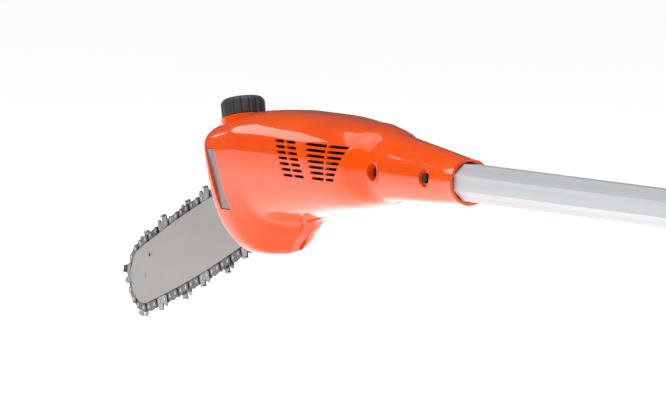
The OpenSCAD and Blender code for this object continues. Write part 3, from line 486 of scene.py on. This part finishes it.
near_shell = new_piece(
    "head_shell_near_skin",
    moulding("head_shell_near_skin", HEAD_ROWS, -1, PART_Y - SEAM, WALL,
             mouth_wall=lambda r: r[4] - NECK_BORE),
    "head", ORANGE, ["head_shell_near"])

VENT_ROWS = 7
VENT_TOP = 20
VENT_STEP = 4.5
VENT_H = 2.3


def slot_box(x, z, length, lean=0.0):
    return prism([(x, z), (x + length, z), (x + length + lean, z - VENT_H), (x + lean, z - VENT_H)], -60, -30)


vents = []
for row in range(VENT_ROWS):
    z = VENT_TOP - VENT_STEP * row
    vents += [slot_box(-247 + 3 * row, z, 15, 1.4), slot_box(-229.5 + 3 * row, z, 15, 1.4),
              slot_box(-198 + 2.4 * row, z, 32 - 2.4 * row), slot_box(-163, z, 24 - 2.2 * row, -1)]
cut(near_shell, vents)

WINDOW_TOP = (-353, 4)
WINDOW_FOOT = (-328, -41)
WINDOW_HALF = 8
cut(near_shell, [prism([(WINDOW_TOP[0] - WINDOW_HALF, WINDOW_TOP[1] + 2),
                        (WINDOW_TOP[0] + WINDOW_HALF, WINDOW_TOP[1] + 2),
                        (WINDOW_FOOT[0] + WINDOW_HALF, WINDOW_FOOT[1] - 2),
                        (WINDOW_FOOT[0] - WINDOW_HALF, WINDOW_FOOT[1] - 2)], -60, -35)])

CROSSWISE = Matrix.Rotation(math.radians(90), 4, "X")
RECESS_R = 7.3
for x, seat, rim in [(-115, 21, 26.9), (-40, 18.2, 19.4)]:
    place = Matrix.Translation(at(x, 0, 1)) @ CROSSWISE
    cut(near_shell, [lathe([(RECESS_R + 1.4, seat - 1.4), (RECESS_R + 1.4, rim)], place, 64)], "UNION")
    cut(near_shell, [lathe([(RECESS_R, seat), (RECESS_R, rim - 1.5), (RECESS_R + 0.8, rim + 20)], place, 64)])

CAP_LEAN = Matrix.Rotation(math.radians(-16), 4, "Y")
CAP_PLACE = Matrix.Translation(at(-350, -19, 31.5)) @ CAP_LEAN
CAP_R = 18.25
CAP_H = 15.5
NECK_R = 12
cut(near_shell, [lathe([(CAP_R + 0.6, 0), (CAP_R + 0.6, 30)], CAP_PLACE, 96)])
cut(near_shell, [lathe([(CAP_R + 1.2, -10), (CAP_R + 1.2, -0.6), (CAP_R + 0.6, 0)], CAP_PLACE, 96)], "UNION")
cut(near_shell, [lathe([(NECK_R + 0.4, -16), (NECK_R + 0.4, 12)], CAP_PLACE, 64)])
smooth_by_angle(near_shell.data)


def bar_box(u0, u1, v0, v1, y0, y1):
    """A block laid out along the bar: u towards the nose and v square to it, from the drive sprocket."""
    tilt = math.radians(SLOPE)
    points = [at(SPROCKET_X - u * math.cos(tilt) - v * math.sin(tilt), y,
                 SPROCKET_Z - u * math.sin(tilt) + v * math.cos(tilt))
              for y in (y0, y1) for u, v in ((u0, v0), (u1, v0), (u1, v1), (u0, v1))]
    return points, [(0, 1, 2, 3), (7, 6, 5, 4)] + [(k, (k + 1) % 4, 4 + (k + 1) % 4, 4 + k) for k in range(4)]


COVER_Y = 19.4
CHAIN_MOUTH = (30, 90, -46, 42, 18, 34)
COVER = Skin(HEAD.rows[:5] + [(-268.8, SLOPE, 41, -43.6, 48.8, 44.8, 2.9)])
cover = new_piece(
    "sprocket_cover_skin",
    moulding("sprocket_cover_skin", COVER.rows_between(60), 1, COVER_Y, WALL),
    "head", ORANGE, ["sprocket_cover"])
cut(cover, [bar_box(*CHAIN_MOUTH)])
smooth_by_angle(cover.data)


PANE_TOP_Y = -47.9
PANE_FOOT_Y = -44.9
PANE_BACK_Y = -42
PANE_OVERRUN = 1.6


def window_pane():
    """The smoked strip, standing just below the shell's surface all the way down."""
    half = WINDOW_HALF - 0.35
    corners = [(WINDOW_TOP, -half, PANE_OVERRUN, PANE_TOP_Y),
               (WINDOW_TOP, half, PANE_OVERRUN, PANE_TOP_Y),
               (WINDOW_FOOT, half, -PANE_OVERRUN, PANE_FOOT_Y),
               (WINDOW_FOOT, -half, -PANE_OVERRUN, PANE_FOOT_Y)]
    outer = [at(end[0] + dx, y, end[1] + dz) for end, dx, dz, y in corners]
    inner = [at(end[0] + dx, PANE_BACK_Y, end[1] + dz) for end, dx, dz, y in corners]
    faces = [(0, 1, 2, 3), (7, 6, 5, 4)] + [(k, (k + 1) % 4, 4 + (k + 1) % 4, 4 + k) for k in range(4)]
    return mesh_from("oil_window_pane", outer + inner, faces)


pane = new_piece("oil_window_pane", window_pane(), "head", WINDOW, ["oil_window"])
round_edges(pane, 0.4)

# ---------------------------------------------------------------- oil cap

FLUTES = 16
FLUTE_DEPTH = 1.25
FLUTE_SHARE = 0.1


def flute(angle, radius, height):
    """Grooves down the cap's side, fading out at its top bevel."""
    if radius < CAP_R - 0.9 or not 1 < height < CAP_H - 1.2:
        return 0
    phase = (angle * FLUTES / (2 * math.pi)) % 1
    return -FLUTE_DEPTH * math.exp(-((phase - 0.5) / FLUTE_SHARE) ** 2)


cap_profile = [
    (0.3, CAP_H - 3), (NECK_R + 0.45, CAP_H - 3), (NECK_R + 0.45, 0.5), (CAP_R - 0.6, 0.5),
    (CAP_R - 0.1, 1.0), (CAP_R - 0.05, 1.5), (CAP_R - 0.05, CAP_H - 3.4), (CAP_R - 0.25, CAP_H - 2.6),
    (CAP_R - 2.2, CAP_H - 0.25), (CAP_R - 2.8, CAP_H), (CAP_R - 4.2, CAP_H),
    (CAP_R - 4.6, CAP_H - 0.7), (0.3, CAP_H - 0.7)]
cap = new_piece("oil_cap_fluted", mesh_from("oil_cap_fluted", *lathe(cap_profile, CAP_PLACE, 320, flute)),
                "cap", BLACK_CAP, ["oil_cap"])
smooth_by_angle(cap.data, 30)

# ---------------------------------------------------------------- shading of the kept nodes

SMOOTH = [
    "head_shell_far", "rear_shell_left", "rear_shell_right", "front_grip", "harness_ring",
    "motor_can", "cover_knob", "rubber_feet", "coiled_lead", "oil_tank", "clamp_body",
    "harness_bracket", "tube_socket", "chain_rivets", "chain_cutters_left", "chain_cutters_right",
    "chain_tie_straps", "bar_side_plates", "power_trigger", "trigger_lock", "clamp_lever",
    "clamp_hardware", "battery_case", "spindle"]
SHARP_ANGLE = math.radians(28)
for name in SMOOTH:
    nodes[name].data.shade_smooth()
    nodes[name].data.set_sharp_from_angle(angle=SHARP_ANGLE)

# ---------------------------------------------------------------- floor, light and camera


def floor():
    mesh = bpy.data.meshes.new("floor")
    reach = 80.0
    mesh.from_pydata([(-reach, -reach, 0), (reach, -reach, 0), (reach, reach, 0), (-reach, reach, 0)],
                     [], [(0, 1, 2, 3)])
    piece = bpy.data.objects.new("floor", mesh)
    piece.location.z = -0.0005
    bpy.context.scene.collection.objects.link(piece)
    made = Finish("floor_paper", 0.9, specular=0.1)
    made.colour(made.noise(2), linear("#f2f2f2"), linear("#f7f7f7"))
    made.set("Emission Color", (1, 1, 1, 1))
    made.set("Emission Strength", 0.68)
    mesh.materials.append(made.material)


def softbox(name, place, target, width, height, power):
    light = bpy.data.lights.new(name, "AREA")
    light.shape = "RECTANGLE"
    light.size = width
    light.size_y = height
    light.energy = power
    lamp = bpy.data.objects.new(name, light)
    lamp.location = place
    lamp.rotation_euler = (Vector(target) - Vector(place)).to_track_quat("-Z", "Y").to_euler()
    bpy.context.scene.collection.objects.link(lamp)


floor()
world = bpy.data.worlds.new("studio")
bpy.context.scene.world = world
world.use_nodes = True
sky = world.node_tree.nodes["Background"]
sky.inputs["Color"].default_value = (1, 1, 1, 1)
sky.inputs["Strength"].default_value = 0.1
bpy.context.scene.view_settings.view_transform = "Standard"

HEAD_MIDDLE = at(-230, 0, 0)
softbox("overhead", HEAD_MIDDLE + Vector((0.2, -0.4, 1.5)), HEAD_MIDDLE, 3.2, 2.2, 36)
softbox("front_window", HEAD_MIDDLE + Vector((-2.3, -0.9, 1.0)), HEAD_MIDDLE, 1.0, 0.5, 4)
sun = bpy.data.lights.new("soft_sun", "SUN")
sun.energy = 0.7
sun.angle = math.radians(50)
sun_lamp = bpy.data.objects.new("soft_sun", sun)
sun_lamp.rotation_euler = (math.radians(12), math.radians(8), 0)
bpy.context.scene.collection.objects.link(sun_lamp)

# The camera looks forward along the pole from behind and to the vent side, slightly from above.
AZIMUTH = math.radians(61.2)
ELEVATION = math.radians(3.13)
ROLL = math.radians(1.97)
VIEW_DISTANCE = 14.0
LENS = 940.6
TARGET = at(-52.1, -96.9, -17.7)
flat_right = Vector((math.cos(AZIMUTH), math.sin(AZIMUTH), 0))
back = Vector((math.sin(AZIMUTH) * math.cos(ELEVATION), -math.cos(AZIMUTH) * math.cos(ELEVATION),
               math.sin(ELEVATION)))
flat_up = back.cross(flat_right)
right = flat_right * math.cos(ROLL) + flat_up * math.sin(ROLL)
up = flat_up * math.cos(ROLL) - flat_right * math.sin(ROLL)
camera_data = bpy.data.cameras.new("camera")
camera_data.lens = LENS
camera_data.sensor_width = 36
camera_data.clip_end = 200
camera = bpy.data.objects.new("camera", camera_data)
basis = Matrix((right, up, back)).transposed().to_4x4()
camera.matrix_world = Matrix.Translation(TARGET + back * VIEW_DISTANCE) @ basis
bpy.context.scene.collection.objects.link(camera)
bpy.context.scene.camera = camera
